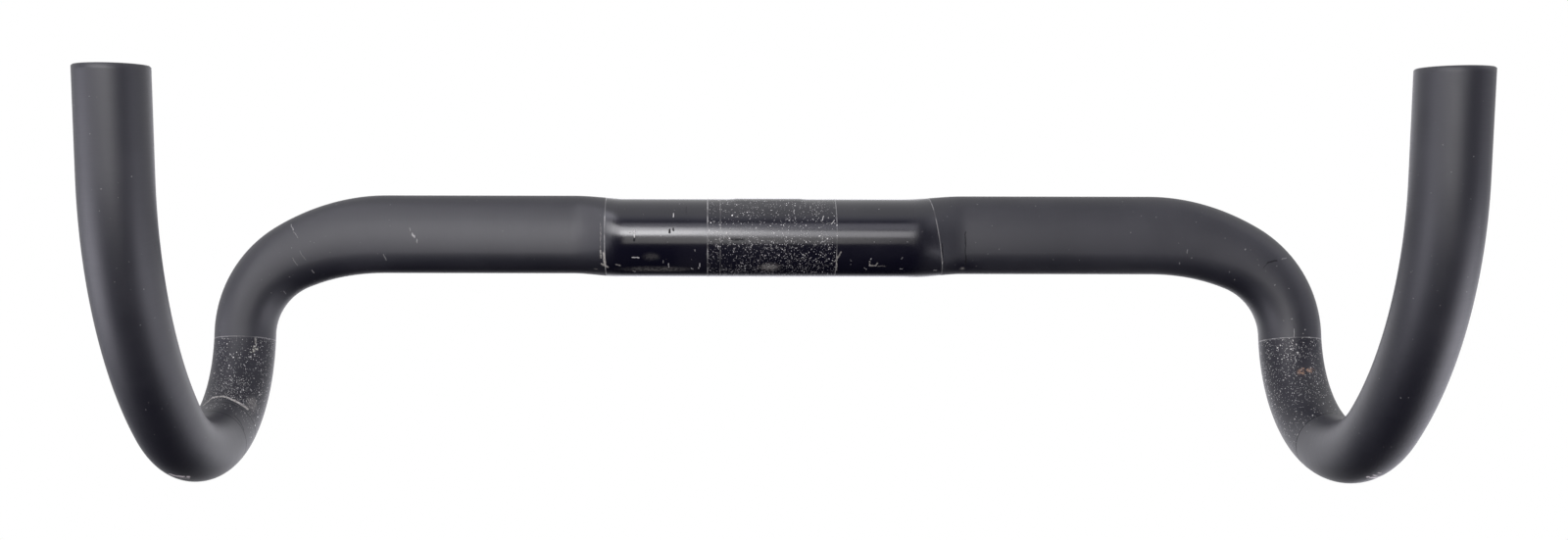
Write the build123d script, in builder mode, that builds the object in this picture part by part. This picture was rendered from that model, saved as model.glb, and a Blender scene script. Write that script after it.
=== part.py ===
from build123d import *
from math import cos, radians, sin
import os

# A drop handlebar for a road bike: one hollow moulded tube, cut open at both ends.
# Sizes are in millimetres and angles in degrees.
# The origin is the middle of the stem clamp. X points to the rider's right,
# Y points forward and Z points up, so the drops hang below the origin.

# Stem clamp: the round middle that the stem holds
clamp_diameter = 31.8
clamp_length = 116.0
clamp_wall = 3.0

# Tops: the flattened part beside the clamp, set back a little from it.
# The oval leans by the tilt, with its front edge lower than its back edge.
shoulder_length = 21.0
top_depth = 31.8
top_thickness = 20.0
top_set_back = 1.3
top_tilt = 8.0
flatness = 76.0

# Grip: the round tube from the end of the first bend to the open end
grip_diameter = 23.8
wall = 2.0

# First bend: from the tops to the ramp, a wide arc and then a tighter one
hood_width = 422.0
bend_angle = 90.0
wide_radius = 80.0
wide_angle = 27.5
tight_radius = 35.5
ramp_slope = 5.0

# Hook: three arcs in one plane that leans outwards, and the straight end
flare = 1.2
upper_radius = 46.0
upper_angle = 35.0
hook_radius = 48.0
hook_angle = 90.0
lower_radius = 121.0
lower_angle = 45.0
end_length = 35.0
end_break = 0.4

# How finely the changing sections follow their curves
shoulder_steps = 6
bend_steps = 14

# Worked out from the sizes above
half_clamp = clamp_length / 2
shoulder_end = half_clamp + shoulder_length
tight_angle = bend_angle - wide_angle
wide_reach = wide_radius * sin(radians(wide_angle))
tight_reach = tight_radius * (sin(radians(bend_angle)) - sin(radians(wide_angle)))
bend_start = hood_width / 2 - wide_reach - tight_reach


def eased(t):
    """A way from 0 to 1 that starts and ends gently."""
    return t * t * (3 - 2 * t)


def between(first, last, share):
    """The value that lies this share of the way from the first to the last."""
    return first + (last - first) * share


def oval(plane, depth, thickness, joint_angle):
    """A closed oval of four tangent arcs, as deep along the plane's x as given.

    The two end arcs and the two broad arcs meet where their normal stands at
    joint_angle to the x axis. Equal depth and thickness give a true circle.
    It is joined by hand, because a line builder would turn the circle's four
    arcs into one edge, and a loft needs the same four in every section.
    """
    c = cos(radians(joint_angle))
    s = sin(radians(joint_angle))
    half_depth = depth / 2
    half_thickness = thickness / 2
    determinant = (1 - c) * (1 - s) - c * s
    end_radius = (half_depth * (1 - s) - half_thickness * c) / determinant
    broad_radius = (half_thickness * (1 - c) - half_depth * s) / determinant
    end_centre = half_depth - end_radius
    broad_centre = half_thickness - broad_radius
    arcs = [
        CenterArc((end_centre, 0), end_radius, -joint_angle, 2 * joint_angle, mode=Mode.PRIVATE),
        CenterArc((0, broad_centre), broad_radius, joint_angle, 180 - 2 * joint_angle, mode=Mode.PRIVATE),
        CenterArc((-end_centre, 0), end_radius, 180 - joint_angle, 2 * joint_angle, mode=Mode.PRIVATE),
        CenterArc((0, -broad_centre), broad_radius, 180 + joint_angle, 180 - 2 * joint_angle, mode=Mode.PRIVATE),
    ]
    return Face(Wire([plane * arc for arc in arcs]))


def across(point, way, tilt):
    """A plane across the tube, level from back to front but for a tilt that lowers its front edge."""
    level = Vector(0, 0, 1).cross(way)
    return Plane(point, x_dir=level.rotate(Axis((0, 0, 0), way), -tilt), z_dir=way)


def arm(clamp_size, top_size, top_height, grip_size):
    """The bar to the right of the clamp, as a solid rod with these sections.

    It is called for the outside and again, with smaller sections, for the bore.
    """
    ramp = Vector(0, cos(radians(ramp_slope)), -sin(radians(ramp_slope)))
    outward = Vector(1, 0, 0)
    bend_plane = Plane((bend_start, -top_set_back, 0), x_dir=outward, z_dir=outward.cross(ramp))
    with BuildLine(bend_plane) as bend:
        wide = JernArc((0, 0), (1, 0), wide_radius, wide_angle)
        JernArc(wide @ 1, wide % 1, tight_radius, tight_angle)
    bend_path = bend.wire()

    down = Vector(sin(radians(flare)), 0, -cos(radians(flare)))
    hook_plane = Plane(bend_path @ 1, x_dir=ramp, z_dir=ramp.cross(down))
    with BuildLine(hook_plane) as hook:
        upper = JernArc((0, 0), (1, 0), upper_radius, upper_angle)
        middle = JernArc(upper @ 1, upper % 1, hook_radius, hook_angle)
        lower = JernArc(middle @ 1, middle % 1, lower_radius, lower_angle)

    with BuildPart() as rod:
        # the shoulder, from round to oval
        for step in range(shoulder_steps + 1):
            share = eased(step / shoulder_steps)
            x = between(half_clamp, shoulder_end, step / shoulder_steps)
            plane = across((x, -top_set_back * share, 0), outward, top_tilt * share)
            depth = between(clamp_size, top_size, share)
            thickness = between(clamp_size, top_height, share)
            add(oval(plane, depth, thickness, flatness))
        loft()

        # the straight tops
        plane = across((shoulder_end, -top_set_back, 0), outward, top_tilt)
        add(oval(plane, top_size, top_height, flatness))
        extrude(amount=bend_start - shoulder_end, dir=outward)

        # the first bend, from oval to round, losing the tilt on the way
        for step in range(bend_steps + 1):
            t = step / bend_steps
            share = eased(t)
            plane = across(bend_path @ t, bend_path % t, between(top_tilt, 0, share))
            depth = between(top_size, grip_size, share)
            thickness = between(top_height, grip_size, share)
            add(oval(plane, depth, thickness, flatness))
        loft()

        # the hook, one arc after another
        for arc in (upper, middle, lower):
            with BuildSketch(Plane(arc @ 0, z_dir=arc % 0)):
                Circle(grip_size / 2)
            sweep(path=arc)

        # the straight end
        with BuildSketch(Plane(lower @ 1, z_dir=lower % 1)):
            Circle(grip_size / 2)
        extrude(amount=end_length)
    return rod.part


def whole(clamp_size, top_size, top_height, grip_size):
    """The round clamp with an arm on each side, as one solid rod."""
    with BuildPart() as rod:
        with BuildSketch(Plane.YZ):
            Circle(clamp_size / 2)
        extrude(amount=half_clamp, both=True)
        right = arm(clamp_size, top_size, top_height, grip_size)
        add(right)
        mirror(right, about=Plane.YZ)
    return rod.part


with BuildPart() as handlebar:
    add(whole(clamp_diameter, top_depth, top_thickness, grip_diameter))
    clamp_bore = clamp_diameter - 2 * clamp_wall
    grip_bore = grip_diameter - 2 * wall
    bore = whole(clamp_bore, top_depth - 2 * wall, top_thickness - 2 * wall, grip_bore)
    add(bore, mode=Mode.SUBTRACT)
    cut_faces = handlebar.faces().filter_by(GeomType.PLANE)
    chamfer(cut_faces.edges(), end_break)

handlebar.part.label = "handlebar"
os.makedirs("parts", exist_ok=True)
export_step(handlebar.part, "parts/handlebar.step")
print("solids", len(handlebar.part.solids()), "volume", round(handlebar.part.volume), "mm3")
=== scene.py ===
# %% [markdown]
# # A road bike drop handlebar in its worn matt finish
#
# The object is one hollow tube, moulded in one piece and bent into the shape that a rider holds. Its form
# is simple, so nearly all of its look is in the finish: a dry matt coat on most of the bar, a polished
# band where the stem grips it, and the grit, scuffs and rub lines that years of clamps leave. This file
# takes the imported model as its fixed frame, makes the tube again as one smooth worked-out skin, and
# spends the rest of its length on that finish and on the light that shows it.

# %% Load the fixed frame
import bpy
import numpy as np
from mathutils import Matrix, Vector


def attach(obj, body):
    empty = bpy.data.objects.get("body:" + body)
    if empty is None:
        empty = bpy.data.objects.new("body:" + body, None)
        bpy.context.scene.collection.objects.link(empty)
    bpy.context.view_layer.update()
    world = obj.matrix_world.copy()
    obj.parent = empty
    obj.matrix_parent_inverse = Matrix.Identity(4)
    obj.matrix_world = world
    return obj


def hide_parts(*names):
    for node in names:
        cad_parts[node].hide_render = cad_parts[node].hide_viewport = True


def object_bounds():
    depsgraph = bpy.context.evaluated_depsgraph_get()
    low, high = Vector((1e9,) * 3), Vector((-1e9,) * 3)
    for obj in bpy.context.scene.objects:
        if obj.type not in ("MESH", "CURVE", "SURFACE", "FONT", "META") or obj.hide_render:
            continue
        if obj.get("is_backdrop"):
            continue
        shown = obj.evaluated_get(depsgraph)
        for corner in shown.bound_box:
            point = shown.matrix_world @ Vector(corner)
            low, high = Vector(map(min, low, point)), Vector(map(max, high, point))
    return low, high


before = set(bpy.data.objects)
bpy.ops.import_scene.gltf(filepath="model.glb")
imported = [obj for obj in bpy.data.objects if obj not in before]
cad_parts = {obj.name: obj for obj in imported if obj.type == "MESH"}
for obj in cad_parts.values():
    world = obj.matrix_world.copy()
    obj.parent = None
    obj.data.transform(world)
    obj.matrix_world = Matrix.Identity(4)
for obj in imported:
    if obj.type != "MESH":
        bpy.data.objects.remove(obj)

cad_low, cad_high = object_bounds()
print("frame box in mm", [round(v * 1000, 1) for v in (*cad_low, *cad_high)])

# %% [markdown]
# ## The sizes
#
# Everything on the real bar follows from a few sizes: three section sizes, and a list of straight runs
# and arcs. They are the sizes of the model in the frame, in millimetres and degrees, and `MM` turns them
# into metres. Everything else in this file is placed by its distance along the tube and its turn round
# it.

# %% Name the driving sizes
MM = 0.001

CLAMP_DIAMETER = 31.8 * MM
CLAMP_LENGTH = 116.0 * MM
CLAMP_WALL = 3.0 * MM
SHOULDER_LENGTH = 21.0 * MM
TOP_DEPTH = 31.8 * MM
TOP_THICKNESS = 20.0 * MM
TOP_SET_BACK = 1.3 * MM
TOP_TILT = np.radians(8.0)
FLATNESS = np.radians(76.0)
GRIP_DIAMETER = 23.8 * MM
WALL = 2.0 * MM

HOOD_WIDTH = 422.0 * MM
WIDE_RADIUS, WIDE_ANGLE = 80.0 * MM, np.radians(27.5)
TIGHT_RADIUS, TIGHT_ANGLE = 35.5 * MM, np.radians(62.5)
RAMP_SLOPE = np.radians(5.0)

FLARE = np.radians(1.2)
UPPER_RADIUS, UPPER_ANGLE = 46.0 * MM, np.radians(35.0)
HOOK_RADIUS, HOOK_ANGLE = 48.0 * MM, np.radians(90.0)
LOWER_RADIUS, LOWER_ANGLE = 121.0 * MM, np.radians(45.0)
END_LENGTH = 35.0 * MM
END_BREAK = 0.4 * MM

# %% [markdown]
# ## The line down the middle of the tube
#
# A bent tube is easiest to describe by the line that its middle follows. On the real bar that line is
# made on mandrels, so it is straight runs and round arcs that meet without a corner. A spline through
# points would wander between them, so the line is worked out instead: each stretch knows where it starts,
# which way it heads and how much it curves, and any distance along the bar then gives a place and a
# direction.
#
# The left half is the right half seen in a mirror, so only the right half is written down.

# %% Walk along the straight runs and arcs
RAMP = np.array([0.0, np.cos(RAMP_SLOPE), -np.sin(RAMP_SLOPE)])
DOWN = np.array([np.sin(FLARE), 0.0, -np.cos(FLARE)])
ACROSS = np.array([1.0, 0.0, 0.0])
UP = np.array([0.0, 0.0, 1.0])


def unit(vectors):
    """The same directions with a length of one."""
    return vectors / np.linalg.norm(vectors, axis=-1, keepdims=True)


TIGHT_REACH = TIGHT_RADIUS * (1 - np.sin(WIDE_ANGLE))
BEND_START = HOOD_WIDTH / 2 - WIDE_RADIUS * np.sin(WIDE_ANGLE) - TIGHT_REACH
BEND_END = BEND_START + WIDE_RADIUS * WIDE_ANGLE + TIGHT_RADIUS * TIGHT_ANGLE
BEND_AXIS = unit(np.cross(ACROSS, RAMP))
HOOK_AXIS = unit(np.cross(RAMP, DOWN))

# each stretch: its length, its radius (none for a straight run), and the axis that it turns about
STRETCHES = [
    (BEND_START, None, BEND_AXIS),
    (WIDE_RADIUS * WIDE_ANGLE, WIDE_RADIUS, BEND_AXIS),
    (TIGHT_RADIUS * TIGHT_ANGLE, TIGHT_RADIUS, BEND_AXIS),
    (UPPER_RADIUS * UPPER_ANGLE, UPPER_RADIUS, HOOK_AXIS),
    (HOOK_RADIUS * HOOK_ANGLE, HOOK_RADIUS, HOOK_AXIS),
    (LOWER_RADIUS * LOWER_ANGLE, LOWER_RADIUS, HOOK_AXIS),
    (END_LENGTH, None, HOOK_AXIS),
]
BAR_END = sum(stretch[0] for stretch in STRETCHES)
# a place that lies this little before a joint, in metres, counts as past it
TINY = 1e-9
print("half of the centre line, mm", round(BAR_END / MM, 2),
      "first bend", round(BEND_START / MM, 2), round(BEND_END / MM, 2))


def eased(t):
    """A step from 0 to 1 that starts and ends gently: 3t squared less 2t cubed, held at both ends."""
    t = np.clip(t, 0.0, 1.0)
    return t * t * (3 - 2 * t)


def middle_line(distance):
    """Places and directions on the right half, for an array of distances from the middle of the bar.

    On an arc, the place is the start plus radius times (sin a along the heading, 1 - cos a to the side),
    where a is the distance run on that arc divided by its radius, and the heading turns by a.
    """
    places = np.zeros((len(distance), 3))
    ways = np.zeros((len(distance), 3))
    start, heading, done = np.zeros(3), ACROSS, 0.0
    for length, radius, axis in STRETCHES:
        here = distance >= done - TINY
        run = np.append(distance[here] - done, length)[:, None]
        side = np.cross(axis, heading)
        if radius is None:
            at, way = start + run * heading, np.repeat(heading[None], len(run), 0)
        else:
            turn = run / radius
            at = start + radius * (np.sin(turn) * heading + (1 - np.cos(turn)) * side)
            way = np.cos(turn) * heading + np.sin(turn) * side
        places[here], ways[here] = at[:-1], way[:-1]
        start, heading, done = at[-1], way[-1], done + length
    shoulder = eased((distance - CLAMP_LENGTH / 2) / SHOULDER_LENGTH)
    places[:, 1] -= TOP_SET_BACK * shoulder
    return places, ways


# %% [markdown]
# ## The section
#
# Cut across, the bar is round at the stem and at the grips, and a soft flat oval on the tops, where the
# palms rest. Four tangent arcs make that oval, two round ends and two broad faces. A squashed circle
# would do from afar, but its curvature changes all the way round and a reflection slides over it, while
# the real bar shows an even sheen on its broad faces. The points are spaced by the angle of their outward
# normal, which makes a circle the plain case where both pairs of arcs share one centre.

# %% Work out the oval and its size along the bar
def oval(depth, thickness, normal):
    """Points of the oval, as far along its depth and its thickness, for each outward normal angle.

    Each point is its arc's centre plus the arc's radius times (cos, sin) of the normal. The radii are the
    only pair for which the arcs meet at the flatness angle with the depth and the thickness asked for.
    """
    c, s = np.cos(FLATNESS), np.sin(FLATNESS)
    half_depth, half_thickness = depth / 2, thickness / 2
    determinant = (1 - c) * (1 - s) - c * s
    end_radius = (half_depth * (1 - s) - half_thickness * c) / determinant
    broad_radius = (half_thickness * (1 - c) - half_depth * s) / determinant
    broad = np.abs(np.sin(normal)) > s
    radius = np.where(broad, broad_radius, end_radius)
    centre_out = np.where(broad, 0.0, (half_depth - end_radius) * np.sign(np.cos(normal)))
    centre_up = np.where(broad, (half_thickness - broad_radius) * np.sign(np.sin(normal)), 0.0)
    return centre_out + radius * np.cos(normal), centre_up + radius * np.sin(normal)


def shares(distance):
    """How far each place has gone from the clamp's section to the tops', and from the tops' to the grips'."""
    shoulder = eased((distance - CLAMP_LENGTH / 2) / SHOULDER_LENGTH)
    bend = eased((distance - BEND_START) / (BEND_END - BEND_START))
    return shoulder, bend


def section_size(distance, clamp, top_depth, top_thickness, grip):
    """Depth and thickness of the tube at each distance, eased from clamp to tops and from tops to grip."""
    shoulder, bend = shares(distance)
    depth = clamp + (top_depth - clamp) * shoulder + (grip - top_depth) * bend
    thickness = clamp + (top_thickness - clamp) * shoulder + (grip - top_thickness) * bend
    return depth, thickness


# %% [markdown]
# ## The skin of the tube
#
# The whole surface is one grid. Its rows run out along the outside from the left end to the right, over
# the cut rim, back along the bore and over the left rim to where they began, and its columns go round the
# section. Such a grid closes on itself both ways, so the wall is a true closed shell with no seam to
# weld, and every face looks outwards because the rows never change their sense. Rows lie closer on the
# outside than in the bore, of which only the first stretch can be seen.

# %% Lay out the rows
COLUMNS = 96
OUTSIDE_STEP = 1.7 * MM
BORE_STEP = 3.2 * MM


def run_of(first, last, spacing):
    """Evenly spaced distances from the first to the last, about this spacing apart."""
    return np.linspace(first, last, int(round(abs(last - first) / spacing)) + 1)


outside_end = BAR_END - END_BREAK
outside = run_of(-outside_end, outside_end, OUTSIDE_STEP)
bore = run_of(outside_end, -outside_end, BORE_STEP)
rim = np.array([BAR_END, BAR_END])
row_distance = np.concatenate([outside, rim, bore, -rim])
bore_rows = np.arange(len(bore)) + len(outside) + len(rim)
print("rows", len(row_distance), "columns", COLUMNS, "triangles", 2 * len(row_distance) * COLUMNS)


def row_sizes(distance):
    """Depth and thickness for every row: outside, the two rim rows of each end, and the bore."""
    outer = section_size(np.abs(distance), CLAMP_DIAMETER, TOP_DEPTH, TOP_THICKNESS, GRIP_DIAMETER)
    inner = section_size(
        np.abs(distance), CLAMP_DIAMETER - 2 * CLAMP_WALL, TOP_DEPTH - 2 * WALL, TOP_THICKNESS - 2 * WALL,
        GRIP_DIAMETER - 2 * WALL)
    sizes = []
    for outer_size, inner_size in zip(outer, inner):
        size = outer_size.copy()
        size[bore_rows] = inner_size[bore_rows]
        right_rim = len(outside)
        left_rim = len(distance) - len(rim)
        size[[right_rim, left_rim + 1]] = GRIP_DIAMETER - 2 * END_BREAK
        size[[right_rim + 1, left_rim]] = GRIP_DIAMETER - 2 * WALL + 2 * END_BREAK
        sizes.append(size)
    return sizes


row_depth, row_thickness = row_sizes(row_distance)

# %% [markdown]
# Each row also needs to know which way is "out" and which is "up" in its section. On the tops these are
# forward and up, level with the ground apart from a tilt of the flattened part, whose front edge is a
# little lower. In the hook the section is round, and they follow the plane of the hook, turned over
# gently after the bend so that the grid has no twist.
#
# Behind the clamp, under where the stem was, a worn film still sticks to the bar. It stands a quarter of
# a millimetre high, so the surface itself is raised there, and not only the finish.

# %% Carry the section along the line
FRAME_EASE = 30.0 * MM


def section_axes(distance, ways):
    """Two directions across the tube at each place: level with the ground, then in the hook's plane."""
    level = unit(np.cross(UP, ways[distance <= BEND_END]))
    into_hook = eased((distance - BEND_END) / FRAME_EASE)[:, None]
    ramp_level = unit(np.cross(UP, RAMP))
    out = ramp_level * (1 - into_hook) + HOOK_AXIS * into_hook
    out[distance <= BEND_END] = level
    out = unit(out - ways * np.sum(out * ways, 1, keepdims=True))
    up = np.cross(ways, out)
    shoulder, bend = shares(distance)
    tilt = (TOP_TILT * shoulder * (1 - bend))[:, None]
    return out * np.cos(tilt) - up * np.sin(tilt), up * np.cos(tilt) + out * np.sin(tilt)


# the film: its reach from the middle of the bar, its height, the turn that it begins at, and its two edges
FILM_REACH, FILM_EDGE, FILM_HEIGHT = 14.3 * MM, 1.0 * MM, 0.25 * MM
FILM_FROM, FILM_TURN_EDGE = np.radians(150), np.radians(4.0)


def skin(distance, depth, thickness, normal, raised=0.0):
    """The surface: middle line plus the oval's two distances along the two axes, plus any raised film.

    Negative distances are the left half: the same points with x turned round.
    """
    reach = np.abs(distance)
    places, ways = middle_line(reach)
    out, up = section_axes(reach, ways)
    along_out, along_up = oval(depth[:, None], thickness[:, None], normal[None, :])
    along_out = along_out + raised * np.cos(normal)
    along_up = along_up + raised * np.sin(normal)
    points = places[:, None] + along_out[..., None] * out[:, None] + along_up[..., None] * up[:, None]
    points[..., 0] *= np.where(distance < 0, -1.0, 1.0)[:, None]
    return points


column_normal = np.linspace(-np.pi, np.pi, COLUMNS, endpoint=False)
under_film = eased((FILM_REACH - np.abs(row_distance)) / FILM_EDGE + 0.5)
under_film[len(outside):] = 0.0
behind = eased((np.abs(column_normal) - FILM_FROM) / FILM_TURN_EDGE + 0.5)
raised = FILM_HEIGHT * under_film[:, None] * behind[None, :]
points = skin(row_distance, row_depth, row_thickness, column_normal, raised)
print("skin box in mm", np.round(points.min((0, 1)) / MM, 2), np.round(points.max((0, 1)) / MM, 2))

# %% [markdown]
# The grid becomes a mesh in one step. The finish needs to know how far along the bar and how far round it
# a spot lies, so both go into a UV map in metres: U is the distance along the bar from its middle, and V
# is the distance round from the side that faces forward on the tops. The map is cut along the back of the
# tops and the outer side of the hooks, where no stroke or patch lies. Grit and lines cross the cut
# unharmed, because their noise is placed in space.

# %% Make the mesh
def wrapped_grid(rows, columns):
    """Corner numbers of the four-sided faces of a grid that closes on itself both ways."""
    row, column = np.meshgrid(np.arange(rows), np.arange(columns), indexing="ij")
    next_row, next_column = (row + 1) % rows, (column + 1) % columns
    corners = [(row, column), (row, next_column), (next_row, next_column), (next_row, column)]
    return np.stack([r * columns + c for r, c in corners], -1).reshape(-1, 4)


def make_mesh(name, points, faces, uv, flat):
    """A mesh with smooth faces, apart from those marked flat, and a map for the finish."""
    mesh = bpy.data.meshes.new(name)
    mesh.from_pydata(points.reshape(-1, 3), [], faces)
    mesh.polygons.foreach_set("use_smooth", ~flat)
    layer = mesh.uv_layers.new(name="along_and_round")
    layer.uv.foreach_set("vector", uv.reshape(-1).astype(np.float32))
    mesh.update()
    piece = bpy.data.objects.new(name, mesh)
    bpy.context.scene.collection.objects.link(piece)
    return piece


rows = len(row_distance)
faces = wrapped_grid(rows, COLUMNS)
face_row = np.repeat(np.arange(rows), COLUMNS)
face_column = np.tile(np.arange(COLUMNS), rows)
# each cut end has three rings of flat faces: the outer break, the cut itself and the inner break
RIM_RINGS = 3
first_rings = (len(outside) - 1, rows - RIM_RINGS)
flat = np.isin(face_row, [first + ring for first in first_rings for ring in range(RIM_RINGS)])

mean_radius = (row_depth + row_thickness) / 4
corner_row = np.stack([face_row, face_row, (face_row + 1) % rows, (face_row + 1) % rows], -1)
corner_column = np.stack([face_column, face_column + 1, face_column + 1, face_column], -1)
corner_turn = -np.pi + corner_column * 2 * np.pi / COLUMNS
uv = np.stack([row_distance[corner_row], corner_turn * mean_radius[corner_row]], -1)

bar_shell = make_mesh("bar_shell", points, faces, uv, flat)
print("faces", len(faces), "flat rim faces", int(flat.sum()))

# %% [markdown]
# ## The camera
#
# The photograph looks straight up at the bar from about 0.6 m below it, with the front of the bar at the
# foot of the picture, so the drops stand nearer than the tops and the palms' side is hidden. Place, angle
# and lens below come from laying the bar's outline over the photograph's. The shift keeps the
# photograph's own framing, which isn't centred on the line of sight.

# %% Set the camera
CAMERA_PLACE = Vector((-23.060, 36.579, -585.519)) * MM
CAMERA_YAW, CAMERA_PITCH, CAMERA_ROLL = np.radians((-0.1462, 0.0088, 0.0951))
FOCAL_PIXELS = 1469.1
IMAGE_WIDTH, IMAGE_HEIGHT = 1600, 551
CENTRE_PIXEL = (729.2, 334.8)
SENSOR_WIDTH = 36.0
NEAREST_SEEN = 0.01

roll = Matrix.Rotation(CAMERA_ROLL, 3, "Z")
pitch = Matrix.Rotation(CAMERA_PITCH, 3, "X")
yaw = Matrix.Rotation(CAMERA_YAW, 3, "Y")
right, down, ahead = roll @ pitch @ yaw
camera_data = bpy.data.cameras.new("camera")
camera_data.sensor_width = SENSOR_WIDTH
camera_data.lens = FOCAL_PIXELS / IMAGE_WIDTH * SENSOR_WIDTH
camera_data.shift_x = (IMAGE_WIDTH / 2 - CENTRE_PIXEL[0]) / IMAGE_WIDTH
camera_data.shift_y = (CENTRE_PIXEL[1] - IMAGE_HEIGHT / 2) / IMAGE_WIDTH
camera_data.clip_start = NEAREST_SEEN
camera = bpy.data.objects.new("camera", camera_data)
bpy.context.scene.collection.objects.link(camera)
camera.matrix_world = Matrix.Translation(CAMERA_PLACE) @ Matrix((right, -down, -ahead)).transposed().to_4x4()
bpy.context.scene.camera = camera
print("lens", round(camera_data.lens, 2),
      "shift", round(camera_data.shift_x, 4), round(camera_data.shift_y, 4))

# %% [markdown]
# ## Short words for nodes
#
# The room's light and the bar's finish are both node trees. A tree is easier to read when each node is
# one line, so three helpers add a node, do sums, and turn a measure into a soft step.

# %% Helpers for node trees
def put(tree, kind, inputs=(), **settings):
    """Adds a node, sets its settings, and fills its inputs with numbers or with other nodes' outputs."""
    node = tree.nodes.new(kind)
    for name, value in settings.items():
        setattr(node, name, value)
    for name, value in dict(inputs).items():
        if isinstance(value, bpy.types.NodeSocket):
            tree.links.new(value, node.inputs[name])
        else:
            node.inputs[name].default_value = value
    return node


def sums(tree, operation, *values, clamp=False):
    """One step of arithmetic on numbers or outputs."""
    return put(tree, "ShaderNodeMath", enumerate(values), operation=operation, use_clamp=clamp).outputs[0]


def step(tree, value, low, high):
    """0 below the low mark, 1 above the high one and an eased slope between; falls if low is above high."""
    marks = {"Value": value, "From Min": low, "From Max": high}
    return put(tree, "ShaderNodeMapRange", marks, interpolation_type="SMOOTHSTEP").outputs["Result"]


# %% [markdown]
# ## The studio
#
# A dark object is seen by what it mirrors, so the light is most of the picture. The photograph's room
# reads from the sheen on the tube: one long soft box below and behind the bar, lying aslant, gives the
# broad sheen on the tops and the streak on the clamp. Boxes far out on both sides edge the drops. The
# room is pale behind and above and dark in front and below, which gives the tops their dark lower edge.
#
# The background is white for the camera. Mirrored and transmitted rays see that white too, where the
# backdrop stands behind the bar, and the room's own level elsewhere.

# %% Light the dome
ROOM_LEVEL = 1.1
BACKDROP_SIDE = Vector((0.0, -0.7, 0.7))
ROOM_DARK, ROOM_PALE = -0.1, 0.5
ROOM_TINT, WHITE = (0.96, 0.97, 1.10, 1), (1, 1, 1, 1)

world = bpy.data.worlds.new("studio")
bpy.context.scene.world = world
world.use_nodes = True
room = world.node_tree
room.nodes.clear()
towards = put(room, "ShaderNodeTexCoord").outputs["Generated"]
facing = put(
    room, "ShaderNodeVectorMath", {0: towards, 1: BACKDROP_SIDE}, operation="DOT_PRODUCT").outputs["Value"]
pale = step(room, facing, ROOM_DARK, ROOM_PALE)
rays = put(room, "ShaderNodeLightPath").outputs
mirrored = sums(room, "MAXIMUM", rays["Is Glossy Ray"], rays["Is Transmission Ray"])
white = sums(room, "MAXIMUM", rays["Is Camera Ray"], sums(room, "MULTIPLY", mirrored, pale))
level = sums(room, "MULTIPLY", pale, ROOM_LEVEL)
brightness = put(room, "ShaderNodeMix", {0: white, 2: level, 3: 1.0}).outputs[0]
hue = put(room, "ShaderNodeMix", {0: white, 6: ROOM_TINT, 7: WHITE}, data_type="RGBA").outputs[2]
background = put(room, "ShaderNodeBackground", {"Color": hue, "Strength": brightness})
put(room, "ShaderNodeOutputWorld", {"Surface": background.outputs[0]})
print("dome from level 0 in front to", ROOM_LEVEL, "behind and above")

# %% [markdown]
# Each box's direction is read like a place on a map whose middle is straight down, and its brightness is
# the level that a mirror would show, with 1 for white. The boxes stand 1.1 m away, so a size of 0.4 m
# spans about 20 degrees.

# %% Hang the soft boxes
BOX_DISTANCE = 1.1
COOL, WARM = (0.98, 0.97, 1.07), (1.02, 1.0, 0.97)
KEY_TINT, CORE_TINT = (1.0, 0.99, 1.02), (1.0, 0.99, 1.0)


def soft_box(name, lean_right, lean_forward, long, wide, brightness, long_way=0.0, tint=COOL):
    """A rectangle of even light that faces the bar, with its long side along long_way on the map, in degrees.

    Its power is its brightness times pi times its area.
    """
    lean = Vector((lean_right, lean_forward))
    tip = np.radians(lean.length)
    aside = lean.normalized() * np.sin(tip)
    outward = Vector((aside.x, aside.y, -np.cos(tip)))
    along_box = Vector((np.cos(np.radians(long_way)), np.sin(np.radians(long_way)), 0.0))
    along_box = (along_box - outward * along_box.dot(outward)).normalized()
    across_box = outward.cross(along_box)
    data = bpy.data.lights.new(name, "AREA")
    data.shape = "RECTANGLE"
    data.size, data.size_y = long, wide
    data.energy = brightness * np.pi * long * wide
    data.color = tint
    lamp = bpy.data.objects.new(name, data)
    turned = Matrix((along_box, across_box, outward)).transposed().to_4x4()
    lamp.matrix_world = Matrix.Translation(outward * BOX_DISTANCE) @ turned
    bpy.context.scene.collection.objects.link(lamp)


soft_box("key_box", -24, -18, 0.92, 0.46, 6.6, long_way=13, tint=KEY_TINT)
soft_box("key_core_box", -8, -11, 0.34, 0.24, 4.6, tint=CORE_TINT)
soft_box("key_end_box", 4, -9, 0.40, 0.32, 4.2, long_way=10, tint=KEY_TINT)
soft_box("key_side_box", -38, -54, 0.50, 0.40, 3.2)
soft_box("back_glow_box", 4, -30, 0.60, 0.36, 1.5)
soft_box("left_box", -68, 18, 0.75, 0.75, 4.2)
soft_box("right_box", 69, 32, 0.65, 0.65, 4.2)
soft_box("right_high_box", 100, 54, 0.90, 0.90, 1.5)
soft_box("right_back_box", 60, -36, 0.70, 0.70, 1.1)
soft_box("front_glow_box", 0, 9, 0.40, 0.40, 1.7, tint=WARM)

# %% [markdown]
# ## The floor
#
# The photograph hangs in white and shows no floor, and it is taken from below, so a solid floor would
# stand between the camera and the bar. The floor here is therefore one-sided: from above it is a plain
# pale sheet that the bar stands on and shades, and from below, and to the light from below, it isn't
# there. Away from the bar the sheet fades into the white room, so that it has no far edge. A lamp above
# lights the bar and the sheet.

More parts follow.
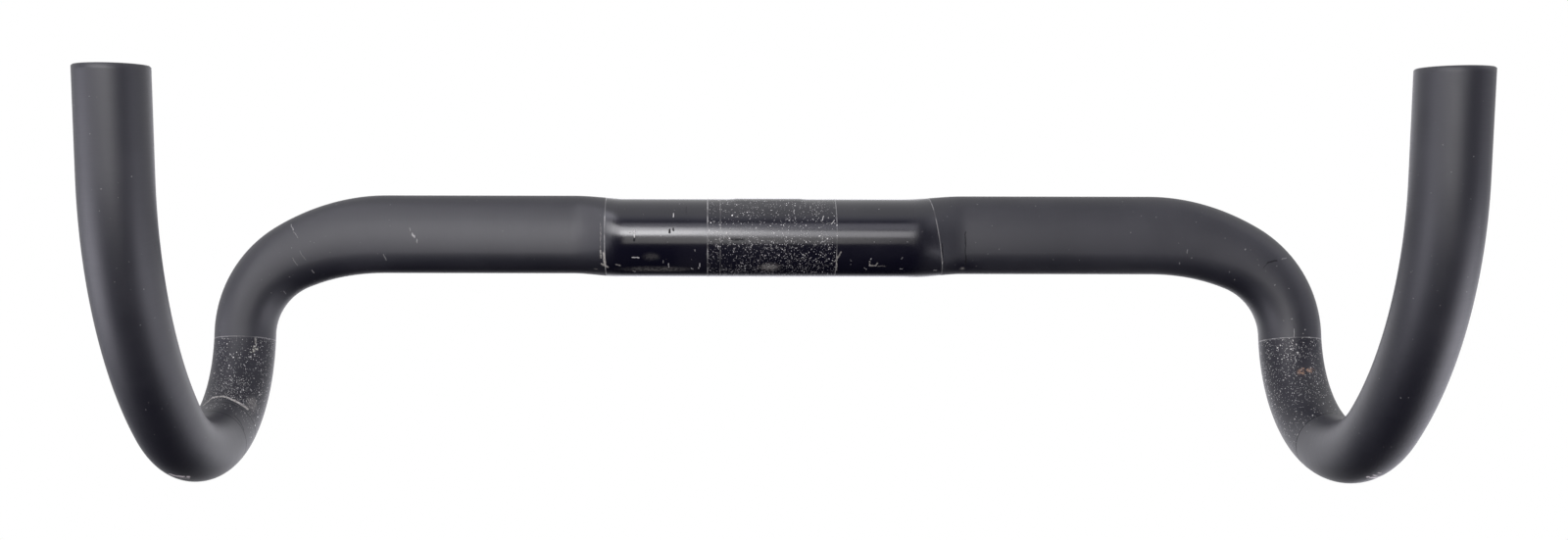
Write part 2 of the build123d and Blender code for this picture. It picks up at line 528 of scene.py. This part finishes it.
# %% Lay a one-sided floor
FLOOR_SIZE = 6.0
FLOOR_GAP = 0.2 * MM
FADE_START, FADE_END = 0.30, 0.75
PAPER_COLOUR = (0.84, 0.82, 0.76, 1)
paper = bpy.data.materials.new("pale_floor")
paper.use_nodes = True
sheet = paper.node_tree
sheet.nodes.clear()
seen_by = put(sheet, "ShaderNodeLightPath").outputs["Is Camera Ray"]
underside = put(sheet, "ShaderNodeNewGeometry").outputs["Backfacing"]
shown = sums(sheet, "MULTIPLY", seen_by, sums(sheet, "SUBTRACT", 1.0, underside))
clear = put(sheet, "ShaderNodeBsdfTransparent").outputs[0]
matt_paper = put(sheet, "ShaderNodeBsdfDiffuse", {"Color": PAPER_COLOUR}).outputs[0]
white_room = put(sheet, "ShaderNodeEmission", {"Color": WHITE, "Strength": 1.0}).outputs[0]
from_middle = put(sheet, "ShaderNodeTexCoord").outputs["Object"]
away = put(sheet, "ShaderNodeVectorMath", {0: from_middle}, operation="LENGTH").outputs["Value"]
fade = step(sheet, away, FADE_START, FADE_END)
faded = put(sheet, "ShaderNodeMixShader", {0: fade, 1: matt_paper, 2: white_room}).outputs[0]
mixed = put(sheet, "ShaderNodeMixShader", {0: shown, 1: clear, 2: faded}).outputs[0]
put(sheet, "ShaderNodeOutputMaterial", {"Surface": mixed})

floor_mesh = bpy.data.meshes.new("floor")
floor_level = cad_low[2] - FLOOR_GAP
floor_reach = FLOOR_SIZE / 2
corner_signs = [(-1, -1), (1, -1), (1, 1), (-1, 1)]
corners = [(x * floor_reach, y * floor_reach, floor_level) for x, y in corner_signs]
floor_mesh.from_pydata(corners, [], [(0, 1, 2, 3)])
floor_mesh.materials.append(paper)
floor = bpy.data.objects.new("floor", floor_mesh)
bpy.context.scene.collection.objects.link(floor)
floor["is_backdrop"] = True
soft_box("top_box", 180, 20, 1.2, 1.2, 1.2)
print("floor at", round(floor_level / MM, 1), "mm, the bar's lowest point at", round(cad_low[2] / MM, 1))

# %% [markdown]
# ## The finish
#
# The real bar is carbon laminate under a thin matt coat. Years of use have changed that coat in a few
# places only, and always for a reason: the stem's clamp rubbed one band to a gloss and pressed road grit
# into it, each lever's clamp left a gritty patch, the left one with a ridge of dirt at its edge, and the
# rest has only dust, small chips and scratches. A noise over everything would look dirty but not used, so
# each mark is placed where its cause was, by its distance along the bar and its turn round it, and one
# noise breaks up all their edges.
#
# One tree with all the marks would be too long for the renderer, so the bar has five materials, one for
# each stretch. The coat is the same in each and follows the whole bar, so nothing shows where they meet.
# First come the words that all five are written with.

# %% Words for the worn coat
# how far one noise moves the edges of the marks, and its bumps to the metre
WOBBLE, WOBBLE_BUMPS = 0.9 * MM, 650
# the soft edge of a pressed line, in millimetres
LINE_SOFT = 0.22
# what a speck's reach has at least, the share of it that is solid, and the strength of the faintest speck
SPECK_LEAST, SPECK_CORE, SPECK_FAINTEST = 0.45, 0.35, 0.4


def radius_at(distance):
    """Mean radius of the tube at a distance along the bar, which turns a turn into a distance round it."""
    depth, thickness = section_size(
        np.array([abs(distance)]), CLAMP_DIAMETER, TOP_DEPTH, TOP_THICKNESS, GRIP_DIAMETER)
    return float(depth[0] + thickness[0]) / 4


def spot(distance, turn):
    """A place on the map, in metres, from millimetres along the bar and degrees round it."""
    return Vector((distance * MM, np.radians(turn) * radius_at(distance * MM), 0.0))


class Coat:
    """The finish of one stretch: its node tree, and words for sums and for places on the tube.

    Lengths are in millimetres and turns round the bar in degrees. A mask is 1 on a mark and 0 off it.
    """

    def __init__(self, name):
        self.material = bpy.data.materials.new(name)
        self.material.use_nodes = True
        self.tree = self.material.node_tree
        self.tree.nodes.clear()
        self.on_bar = put(self.tree, "ShaderNodeTexCoord").outputs["Object"]
        self.on_map = put(self.tree, "ShaderNodeUVMap", uv_map="along_and_round").outputs["UV"]
        self.shake = self.vector("SUBTRACT", self.noise(WOBBLE_BUMPS, output="Color"), (0.5, 0.5, 0.5))
        shaken = self.vector("MULTIPLY", self.shake, (WOBBLE, WOBBLE, 0.0))
        self.ragged = self.vector("ADD", self.on_map, shaken)
        self.along = self.part(self.on_map, "X")
        self.around_ragged = self.part(self.ragged, "Y")

    def vector(self, operation, *values, output="Vector"):
        """One step of arithmetic on places."""
        return put(self.tree, "ShaderNodeVectorMath", enumerate(values), operation=operation).outputs[output]

    def part(self, place, letter):
        """One of the three numbers of a place: X, Y or Z."""
        return put(self.tree, "ShaderNodeSeparateXYZ", {0: place}).outputs[letter]

    def noise(self, scale, detail=3.0, output="Fac"):
        """Soft noise from 0 to 1, with about this many bumps to the metre."""
        inputs = {"Vector": self.on_bar, "Scale": scale, "Detail": detail}
        return put(self.tree, "ShaderNodeTexNoise", inputs).outputs[output]

    def times(self, *values):
        """The product of several masks or numbers."""
        product = values[0]
        for value in values[1:]:
            product = sums(self.tree, "MULTIPLY", product, value)
        return product

    def plus(self, first, second):
        """The sum of two masks or numbers."""
        return sums(self.tree, "ADD", first, second)

    def less(self, mask):
        """1 where the mask is 0, and the other way round."""
        return sums(self.tree, "SUBTRACT", 1.0, mask, clamp=True)

    def partly(self, mask, least):
        """A mask that never falls below a least share: that share where it is 0, and 1 where it is 1."""
        return self.plus(self.times(mask, 1 - least), least)

    def most(self, masks):
        """The largest of several masks at each spot, joined one after another as they are made."""
        largest = None
        for mask in masks:
            largest = mask if largest is None else sums(self.tree, "MAXIMUM", largest, mask)
        return 0.0 if largest is None else largest

    def rise(self, value, low, high):
        """An eased slope from 0 at the low mark to 1 at the high one; it falls if low is above high."""
        return step(self.tree, value, low, high)

    def clumps(self, bumps, low, high):
        """Noise of this many bumps to the metre, drawn out into patches between two marks."""
        return self.rise(self.noise(bumps), low, high)

    def band(self, first, last, soft, where=None):
        """1 between two distances along the bar, or along another measure that where gives."""
        where = self.along if where is None else where
        up = self.rise(where, (first - soft) * MM, (first + soft) * MM)
        return self.times(up, self.rise(where, (last + soft) * MM, (last - soft) * MM))

    def between_turns(self, distance, first, last, soft):
        """1 between two turns round the bar at about this distance along it."""
        turns = (first - soft, first + soft, last + soft, last - soft)
        edges = [spot(distance, turn).y for turn in turns]
        up = self.rise(self.around_ragged, *edges[:2])
        return self.times(up, self.rise(self.around_ragged, *edges[2:]))

    def stroke(self, start, end, width, soft):
        """1 on a stroke between two spots.

        The distance to the stroke is the distance to its nearest point: the start plus the share of the
        way to the end that the spot lies at, held between 0 and 1.
        """
        way = spot(*end) - spot(*start)
        from_start = self.vector("SUBTRACT", self.ragged, spot(*start))
        lies_at = self.vector("DOT_PRODUCT", from_start, way / way.length_squared, output="Value")
        share = sums(self.tree, "MULTIPLY", lies_at, 1.0, clamp=True)
        nearest = put(self.tree, "ShaderNodeVectorMath", {0: way, "Scale": share}, operation="SCALE")
        distance = self.vector("DISTANCE", from_start, nearest.outputs[0], output="Value")
        return self.rise(distance, (width / 2 + soft) * MM, max(width / 2 - soft, 0.0) * MM)

    def strokes(self, rows, soft=0.15):
        """The largest of many strokes, each a start, an end, a width and a strength."""
        return self.most(self.times(self.stroke(start, end, width, soft), strength)
                         for start, end, width, strength in rows)

    def patch(self, centre, long, high, lean=0.0, soft=0.5):
        """1 in the middle of an oval patch; long and high are its sizes in millimetres."""
        moved = self.vector("SUBTRACT", self.ragged, spot(*centre))
        c, s = np.cos(np.radians(lean)), np.sin(np.radians(lean))
        along = (c * 2 / (long * MM), s * 2 / (long * MM), 0.0)
        across = (-s * 2 / (high * MM), c * 2 / (high * MM), 0.0)
        first = self.vector("DOT_PRODUCT", moved, along, output="Value")
        second = self.vector("DOT_PRODUCT", moved, across, output="Value")
        both = put(self.tree, "ShaderNodeCombineXYZ", {0: first, 1: second}).outputs[0]
        return self.rise(self.vector("LENGTH", both, output="Value"), 1.0, 1.0 - soft)

    def patches(self, rows):
        """The largest of many patches, each a centre, its two sizes, how soft it is, and a strength."""
        return self.most(self.times(self.patch(centre, long, high, soft=soft), strength)
                         for centre, long, high, soft, strength in rows)

    def rings(self, rows, broken):
        """Thin broken lines all the way round, each a distance, a width and a strength."""
        return self.most(self.times(self.band(at - width / 2, at + width / 2, LINE_SOFT), broken, strength)
                         for at, width, strength in rows)

    def specks(self, cell, size, density):
        """Pale specks in cells of this size in millimetres; density is the share of cells that have one.

        Each cell of the pattern holds one point. A speck is drawn where that point lies close enough to the
        surface, and the cell's own random colour sets its size, its strength and whether it is there at all.
        """
        place = self.vector("MULTIPLY_ADD", self.shake, (WOBBLE, WOBBLE, WOBBLE), self.on_bar)
        cells = put(self.tree, "ShaderNodeTexVoronoi", {"Vector": place, "Scale": 1000 / cell}).outputs
        chance = put(self.tree, "ShaderNodeSeparateColor", {0: cells["Color"]}).outputs
        reach = self.times(self.plus(chance["Red"], SPECK_LEAST), size / cell)
        dot = self.rise(cells["Distance"], reach, self.times(reach, SPECK_CORE))
        there = sums(self.tree, "LESS_THAN", chance["Green"], density)
        return self.times(dot, there, self.partly(chance["Blue"], SPECK_FAINTEST))

    def lay(self, under, mask, colour):
        """A colour laid over another where a mask is 1."""
        mix = put(self.tree, "ShaderNodeMix", {0: mask}, data_type="RGBA")
        for socket, value in ((mix.inputs[6], under), (mix.inputs[7], colour)):
            if isinstance(value, bpy.types.NodeSocket):
                self.tree.links.new(value, socket)
            else:
                socket.default_value = value
        return mix.outputs[2]


# %% [markdown]
# ### What has happened to the bar
#
# The marks are written down as tables, one for each part of the bar, in the words of someone who examines
# it. They are read off the photograph one by one, because they are what this bar would be known by, but a
# spot is a place on the tube and not in the picture, so every mark stays put from every side. Distances
# and sizes are in millimetres, turns in degrees, and the last number of a row is how strongly the mark
# shows, apart from `side` and `stains`.
#
# - `grit`: bands, from one distance to another. `thick`: patches with more of it.
# - `side`: the two turns between which the grit is densest, and how softly it thins out.
# - `rubbed`: bands that a lever's clamp wore. `lines` and `dark_lines`: where a clamp's edge pressed,
#   with a width.
# - `dirt`, `pale`, `dark`, `chips`: strokes of dirt, scratches, cuts and chips, each a start, an end and
#   a width.
# - `smears`: soft patches of dirt, each a centre, two sizes and how soft it is.
# - `stains`: coloured patches, each a centre, two sizes, how it leans, and its colour.

# %% The middle: the stem's clamp
MIDDLE = {
    "grit": [(-24.4, 26.8, 0.55), (-19.5, 24.0, 0.82)],
    "thick": [((0.6, -38), 14, 8, 0.8, 1.6), ((20.4, -53), 4, 7, 0.8, 1.4)],
    "side": (-89, 168, 11),
    "rubbed": [],
    "lines": [(-65.4, 0.3, 0.55), (-24.5, 0.3, 0.65), (26.8, 0.25, 0.35), (-19.4, 0.2, 0.25)],
    "dark_lines": [],
    "dirt": [
        ((-67.0, -98), (-67.0, -62), 0.25, 0.35), ((-67.0, -70), (-67.0, -57), 0.52, 0.9),
        ((-65.8, -66), (-65.4, -40), 0.90, 1.0), ((-66.5, -44), (-64.5, -38), 1.20, 0.8),
        ((-69.8, -31), (-69.0, -30), 0.68, 0.5), ((-60.8, -44), (-59.4, -42), 0.75, 0.45),
        ((26.9, -60), (27.1, -32), 0.38, 0.75), ((28.6, -66), (26.2, -51), 0.38, 0.7),
        ((40.0, -51), (40.4, -44), 0.52, 0.75), ((40.4, -43), (42.8, -43), 0.68, 0.75),
        ((42.6, -43), (43.2, -48), 0.38, 0.6), ((43.6, -42), (46.6, -42), 0.38, 0.4)],
    "smears": [
        ((0.4, -39), 12.0, 6.5, 0.9, 0.38), ((-46.8, -58), 9, 5, 0.9, 0.10),
        ((78.0, -30), 3.0, 3.5, 0.9, 0.4), ((-45.0, -34), 38, 5.0, 0.9, 0.22)],
    "pale": [
        ((-53.5, -97), (-53.5, -87), 0.28, 0.77), ((-55.2, -94), (-52.5, -94), 0.19, 0.46),
        ((-38.0, -124), (-38.0, -117), 0.26, 0.69), ((-40.0, -47), (-40.0, -39), 0.28, 0.61),
        ((-42.0, -52), (-42.0, -48), 0.22, 0.31), ((-27.5, -47), (-27.5, -40), 0.28, 0.61),
        ((-29.5, -69), (-29.5, -67), 0.28, 0.38), ((-54.4, -57), (-51.6, -57), 0.45, 0.61),
        ((-31.0, -37), (-30.5, -35), 0.45, 0.46), ((-28.1, -38), (-27.9, -36), 0.45, 0.46),
        ((-54.2, -29), (-53.6, -28), 0.62, 0.38), ((40.5, -56), (40.6, -55), 0.34, 0.46),
        ((32.5, -52), (32.6, -52), 0.28, 0.38), ((38.2, -39), (39.2, -35), 0.22, 0.38),
        ((52.7, -36), (53.5, -36), 0.45, 0.38), ((53.0, -58), (52.8, -55), 0.22, 0.23),
        ((66.6, -30), (67.4, -29), 0.45, 0.46), ((69.5, -50), (69.5, -46), 0.39, 0.31),
        ((84.0, -117), (84.1, -117), 0.28, 0.38), ((21.6, -120), (21.0, -113), 0.22, 0.54),
        ((25.6, -112), (24.6, -107), 0.22, 0.54), ((10.0, -132), (10.0, -124), 0.28, 0.31)],
    "dark": [
        ((-39.5, -98), (-39.5, -94), 0.7, 0.8), ((-38.0, -100), (-38.0, -97), 0.6, 0.6),
        ((-53.5, -85), (-53.5, -82), 0.9, 0.6), ((-15.0, -84), (-10.0, -84), 0.7, 0.6),
        ((78.6, -88), (79.0, -42), 0.4, 0.6), ((69.0, -80), (69.4, -60), 0.4, 0.6),
        ((-33.0, -138), (-33.0, -124), 0.4, 0.3)],
    "chips": [],
    "stains": [],
}

# %% The left side: tops, left lever, left grip
LEFT = {
    "grit": [(-275.5, -234.8, 0.48), (-284.0, -275.5, 0.34)],
    "thick": [((-264, -70), 22, 20, 0.8, 1.7), ((-272, -62), 8, 22, 0.8, 1.3)],
    "side": (-130, 30, 20),
    "rubbed": [(-275.5, -235.0, 1.0)],
    "lines": [(-234.9, 0.3, 0.40)],
    "dark_lines": [(-288.3, 0.35, 0.6), (-277.4, 0.4, 0.5)],
    "dirt": [
        ((-277.0, -124), (-272.8, -108), 1.0, 0.6), ((-272.8, -108), (-272.6, -88), 1.3, 0.8),
        ((-272.6, -88), (-274.0, -70), 1.2, 0.7), ((-274.0, -70), (-274.6, -54), 1.4, 0.9),
        ((-274.6, -54), (-274.8, -38), 1.5, 0.75), ((-238.2, -52), (-235.4, -53), 0.8, 0.5)],
    "smears": [((-270.0, -32), 12, 8, 0.9, 0.30)],
    "pale": [
        ((-188.2, -128), (-188.0, -109), 0.17, 0.29), ((-188.0, -105), (-187.4, -98), 0.17, 0.15),
        ((-188.6, -86), (-188.0, -77), 0.21, 0.10), ((-192.5, -82), (-192.0, -74), 0.21, 0.13),
        ((-187.6, -54), (-187.4, -45), 0.26, 0.27), ((-154.0, -70), (-153.0, -54), 0.17, 0.24),
        ((-142.6, -87), (-141.4, -85), 0.26, 0.42), ((-143.6, -91), (-143.2, -89), 0.17, 0.18),
        ((-140.6, -83), (-140.4, -82), 0.26, 0.27), ((-206.5, -38), (-207.0, -28), 0.30, 0.24),
        ((-198.5, -59), (-198.4, -58), 0.30, 0.27)],
    "dark": [((-285.5, -50), (-287.5, -20), 0.5, 0.5)],
    "chips": [
        ((-318.0, 78), (-318.1, 78), 1.3, 1.0), ((-319.0, 84), (-320.6, 104), 1.2, 0.9),
        ((-317.6, 92), (-316.4, 80), 0.7, 0.5)],
    "stains": [
        ((-242.2, -57), 2.6, 2.2, 30, (0.62, 0.60, 0.52, 1)),
        ((-240.4, -51), 3.6, 2.0, -40, (0.62, 0.60, 0.52, 1))],
}

# %% The right side: tops, right lever, right grip
RIGHT = {
    "grit": [(234.6, 289.0, 0.30), (234.6, 272.0, 0.62)],
    "thick": [((244, -78), 22, 6, 0.8, 1.6)],
    "side": (-130, 30, 20),
    "rubbed": [(234.6, 289.0, 1.0)],
    "lines": [(234.6, 0.3, 0.45)],
    "dark_lines": [(289.0, 0.40, 0.85)],
    "dirt": [],
    "smears": [],
    "pale": [
        ((171.0, -69), (171.1, -69), 0.30, 0.52), ((168.5, -79), (168.6, -77), 0.25, 0.26),
        ((166.4, -54), (166.6, -50), 0.25, 0.34), ((191.0, -92), (191.1, -92), 0.30, 0.34),
        ((209.5, -80), (209.6, -79), 0.30, 0.30), ((226.0, -77), (226.1, -76), 0.35, 0.30),
        ((193.4, -44), (193.6, -43), 0.40, 0.30), ((231.0, -98), (231.1, -98), 0.35, 0.60),
        ((232.5, -93), (232.6, -93), 0.30, 0.38), ((230.5, -77), (234.2, -76), 0.17, 0.34),
        ((204.0, -113), (205.0, -126), 0.20, 0.22)],
    "dark": [((201.0, -85), (201.0, -93), 0.30, 0.4), ((201.0, -93), (203.0, -102), 0.5, 0.55)],
    "chips": [
        ((320.3, 84), (320.4, 84), 1.2, 1.0), ((320.0, 90), (318.6, 112), 1.2, 1.0),
        ((321.5, 96), (322.3, 88), 0.7, 0.7), ((323.6, 98), (324.2, 92), 0.6, 0.5)],
    "stains": [((253.6, -88), 5.5, 9.0, -20, (0.34, 0.20, 0.13, 1))],
}
print("marks in the tables", sum(
    len(rows) for table in (MIDDLE, LEFT, RIGHT) for kind, rows in table.items() if kind != "side"))

# %% [markdown]
# ### From the tables to the coat
#
# Under all marks the coat is nearly black with a breath of blue, and what shows is how rough it is: the
# matt coat scatters the boxes into a soft sheen, and the polished band mirrors them as a streak. The
# band's right edge isn't square to the bar, so it is cut by a tilted plane in the part's own coordinates.
# Rubbing runs round the tube, so the fine hairlines in the coat do too.
#
# A mark changes the colour and the roughness, because dried dirt doesn't shine like the coat. A cut and
# the worn zones under the levers also mirror less. Grit, dirt and scratches are a few hundredths of a
# millimetre high or deep, so that light from the side finds them.

# %% Build a stretch's material
# roughness of the matt coat, of the polished band and of dried dirt, and what wear under a lever adds to it
MATT, GLOSS, DULL, RUBBED = 0.52, 0.19, 0.75, -0.04
# how far clouds, hairlines and the band's dulled ends move the roughness
MATT_CLOUDS, MATT_HAIRS, GLOSS_ENDS, GLOSS_HAIRS = 0.06, 0.10, 0.16, 0.06
# how strongly the coat mirrors, and the share of that which wear under a lever takes away
COAT_IOR, COAT_SHINE, RUBBED_DIMMER = 1.6, 0.5, 0.42

# the polished band: its edges and their softness, how far it leans, and where it is at its brightest
BAND_LEFT, BAND_RIGHT, BAND_SOFT, BAND_FADE, BAND_LEAN = -65.5, 67.7, 0.3, 0.5, 0.17
BRIGHT_FROM, BRIGHT_TO, BRIGHT_SOFT = -62.0, 58.0, 5.0
EDGE_LINE = (BAND_RIGHT - 0.25, BAND_RIGHT + 0.05)
EDGE_LINE_SHARE = 0.30
# hands have rubbed a patch beside the band nearly as glossy
THUMBED = {"centre": (77.0, -38), "long": 24, "high": 13, "soft": 0.9}
THUMBED_SHARE = 0.9

# specks: the size of a cell and of a speck in millimetres, and for dust also the share of cells that have one
FINE_GRIT, COARSE_GRIT, COARSE_SHARE = (0.48, 0.155), (1.05, 0.26), 0.8
DUST, DUST_SHARE = (2.2, 0.20, 0.35), 0.35
GRIT_SOFT, RUBBED_SOFT = 0.4, 1.5

# noises that break marks up: bumps to the metre and the two marks between which they rise
GRIT_CLUMPS, LINE_CLUMPS = (170, 0.28, 0.62), (210, 0.36, 0.56)
DIRT_CLUMPS, STAIN_CLUMPS = (900, 0.30, 0.62), (800, 0.42, 0.62)
# the least of each that is left where its noise is at its lowest
GRIT_LEAST, LINE_LEAST, DIRT_LEAST = 0.45, 0.25, 0.30
CLOUD_BUMPS, CLOUD_DETAIL, HAZE = 38, 4.0, (0.42, 0.78)
# hairlines: bumps to the metre along the bar and round it
HAIR_BUMPS = (2200.0, 110.0, 1.0)
LINE_COVER, STAIN_SOFT, STAIN_COVER = 0.8, 0.7, 0.85

# relief: its full height, and the share of it that dirt, the coat's grain and the hairlines have
RELIEF_HEIGHT, RELIEF_STRENGTH = 0.05 * MM, 0.6
DIRT_RELIEF, GRAIN_RELIEF, GRAIN_BUMPS, HAIR_RELIEF = 0.7, 0.10, 1500, 0.08

COAT_COLOUR = (0.0038, 0.0036, 0.0085, 1)
HAZE_COLOUR = (0.0100, 0.0096, 0.0150, 1)
GRIT_COLOUR = (0.66, 0.64, 0.62, 1)
DIRT_COLOUR = (0.36, 0.34, 0.31, 1)
CHIP_COLOUR = (0.80, 0.72, 0.72, 1)
CUT_COLOUR = (0.0005, 0.0005, 0.0005, 1)


def polished_band(coat):
    """The glossy band and the patch beside it, how dull its ends are, and the line at its right edge."""
    place = put(coat.tree, "ShaderNodeSeparateXYZ", {0: coat.on_bar}).outputs
    leaned = sums(coat.tree, "MULTIPLY_ADD", place["Y"], -BAND_LEAN, place["X"])
    polished = coat.times(coat.rise(coat.along, (BAND_LEFT - BAND_SOFT) * MM, BAND_LEFT * MM),
                          coat.rise(leaned, (BAND_RIGHT + BAND_SOFT) * MM, (BAND_RIGHT - BAND_FADE) * MM))
    dulled = coat.less(coat.band(BRIGHT_FROM, BRIGHT_TO, BRIGHT_SOFT))
    polished = coat.most([polished, coat.times(coat.patch(**THUMBED), THUMBED_SHARE)])
    return polished, dulled, coat.band(*EDGE_LINE, LINE_SOFT, leaned)


def within(rows, low, high):
    """The rows of a table whose mark begins between two distances along the bar."""
    begins = [row[0][0] if isinstance(row[0], tuple) else row[0] for row in rows]
    return [row for row, begin in zip(rows, begins) if low <= begin < high]


def grit_on(coat, marks):
    """Specks of grit by their share of cover, densest on the side of the bar that the table gives."""
    if not marks["grit"]:
        return 0.0
    first, last, soft = marks["side"]
    side = coat.between_turns(marks["grit"][0][0], first, last, soft)
    cover = coat.most(
        coat.times(coat.band(low, high, GRIT_SOFT), share) for low, high, share in marks["grit"])
    cover = coat.most([cover, coat.patches(marks["thick"])]) if marks["thick"] else cover
    uneven = coat.clumps(*GRIT_CLUMPS)
    cover = coat.times(cover, coat.partly(side, GRIT_LEAST), coat.partly(uneven, GRIT_LEAST))
    coarse = coat.times(cover, COARSE_SHARE)
    return coat.most([coat.specks(*FINE_GRIT, cover), coat.specks(*COARSE_GRIT, coarse)])


def worn_coat(name, table, low, high):
    """The finish of the stretch between two distances along the bar, from the marks that begin there."""
    marks = {kind: rows if kind == "side" else within(rows, low, high) for kind, rows in table.items()}
    coat = Coat(name)
    polished, dulled, edge_line = polished_band(coat) if table is MIDDLE else (0.0, 0.0, 0.0)
    clouds = coat.noise(CLOUD_BUMPS, CLOUD_DETAIL)
    drawn_out = {"Vector": coat.vector("MULTIPLY", coat.on_map, HAIR_BUMPS), "Scale": 1.0, "Detail": 3.0}
    hairlines = put(coat.tree, "ShaderNodeTexNoise", drawn_out).outputs[0]
    broken = coat.partly(coat.clumps(*LINE_CLUMPS), LINE_LEAST)

    grit = grit_on(coat, marks)
    dust = coat.times(coat.specks(*DUST), DUST_SHARE)
    lines = coat.rings(marks["lines"], broken)
    lines = coat.most([lines, coat.times(edge_line, broken, EDGE_LINE_SHARE)])
    dirt = coat.most([coat.strokes(marks["dirt"]), coat.patches(marks["smears"])])
    dirt = coat.times(dirt, coat.partly(coat.clumps(*DIRT_CLUMPS), DIRT_LEAST))
    pale = coat.strokes(marks["pale"])
    dark = coat.most([coat.strokes(marks["dark"]), coat.rings(marks["dark_lines"], 1.0)])
    chips = coat.strokes(marks["chips"])

    colour = coat.lay(COAT_COLOUR, coat.rise(clouds, *HAZE), HAZE_COLOUR)
    for mask, laid in (
            (dust, GRIT_COLOUR), (coat.times(lines, LINE_COVER), GRIT_COLOUR), (dirt, DIRT_COLOUR),
            (grit, GRIT_COLOUR), (pale, GRIT_COLOUR), (dark, CUT_COLOUR), (chips, CHIP_COLOUR)):
        colour = coat.lay(colour, mask, laid)
    dull = coat.most([grit, dirt, dust, lines, pale, dark])
    for centre, long, high, lean, laid in marks["stains"]:
        stain = coat.times(coat.patch(centre, long, high, lean, STAIN_SOFT), coat.clumps(*STAIN_CLUMPS))
        colour = coat.lay(colour, coat.times(stain, STAIN_COVER), laid)
        dull = coat.most([dull, stain])

    # clouds and hairlines move the roughness both ways, so half of what they add is taken off
    matt = coat.plus(coat.times(clouds, MATT_CLOUDS), coat.times(hairlines, MATT_HAIRS))
    matt = coat.plus(matt, MATT - (MATT_CLOUDS + MATT_HAIRS) / 2)
    gloss = coat.plus(coat.times(dulled, GLOSS_ENDS), coat.times(hairlines, GLOSS_HAIRS))
    gloss = coat.plus(gloss, GLOSS - GLOSS_HAIRS / 2)
    rubbed = coat.most(
        coat.times(coat.band(first, last, RUBBED_SOFT), amount) for first, last, amount in marks["rubbed"])
    matt = coat.plus(matt, coat.times(rubbed, RUBBED))
    rough = put(coat.tree, "ShaderNodeMix", {0: polished, 2: matt, 3: gloss}).outputs[0]
    rough = put(coat.tree, "ShaderNodeMix", {0: dull, 2: rough, 3: DULL}).outputs[0]

    height = sums(coat.tree, "SUBTRACT", coat.most([grit, coat.times(dirt, DIRT_RELIEF), pale]), dark)
    grain = coat.times(coat.noise(GRAIN_BUMPS), coat.less(polished), GRAIN_RELIEF)
    height = coat.plus(coat.plus(height, grain), coat.times(hairlines, HAIR_RELIEF))
    relief = put(coat.tree, "ShaderNodeBump", {
        "Height": height, "Strength": RELIEF_STRENGTH, "Distance": RELIEF_HEIGHT})
    shine = coat.times(coat.less(dark), coat.less(coat.times(rubbed, RUBBED_DIMMER)), COAT_SHINE)
    surface = put(coat.tree, "ShaderNodeBsdfPrincipled", {
        "Base Color": colour, "Roughness": rough, "IOR": COAT_IOR, "Specular IOR Level": shine,
        "Normal": relief.outputs[0]})
    put(coat.tree, "ShaderNodeOutputMaterial", {"Surface": surface.outputs[0]})
    print(name, "has", len(coat.tree.nodes), "nodes")
    return coat.material


# %% [markdown]
# The stretches meet where there is only plain coat, or at an edge of the stem's faceplate. Their limits
# are in millimetres along the bar.

# %% Give each stretch its material
STRETCH_COATS = [
    ("worn_left", LEFT, -500, -100), ("worn_left_of_stem", MIDDLE, -100, -26), ("worn_stem", MIDDLE, -26, 30),
    ("worn_right_of_stem", MIDDLE, 30, 100), ("worn_right", RIGHT, 100, 500)]
for name, table, low, high in STRETCH_COATS:
    bar_shell.data.materials.append(worn_coat(name, table, low, high))

face_distance = row_distance[face_row]
face_material = np.searchsorted([high * MM for *_, high in STRETCH_COATS[:-1]], face_distance)
bar_shell.data.polygons.foreach_set("material_index", face_material.astype(np.int32))
bar_shell.data.update()
print("faces in each material, from left to right", np.bincount(face_material))

# %% Say what each piece is, and finish
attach(bar_shell, "root")
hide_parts("handlebar")

bpy.context.scene.view_settings.view_transform = "Standard"
low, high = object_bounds()
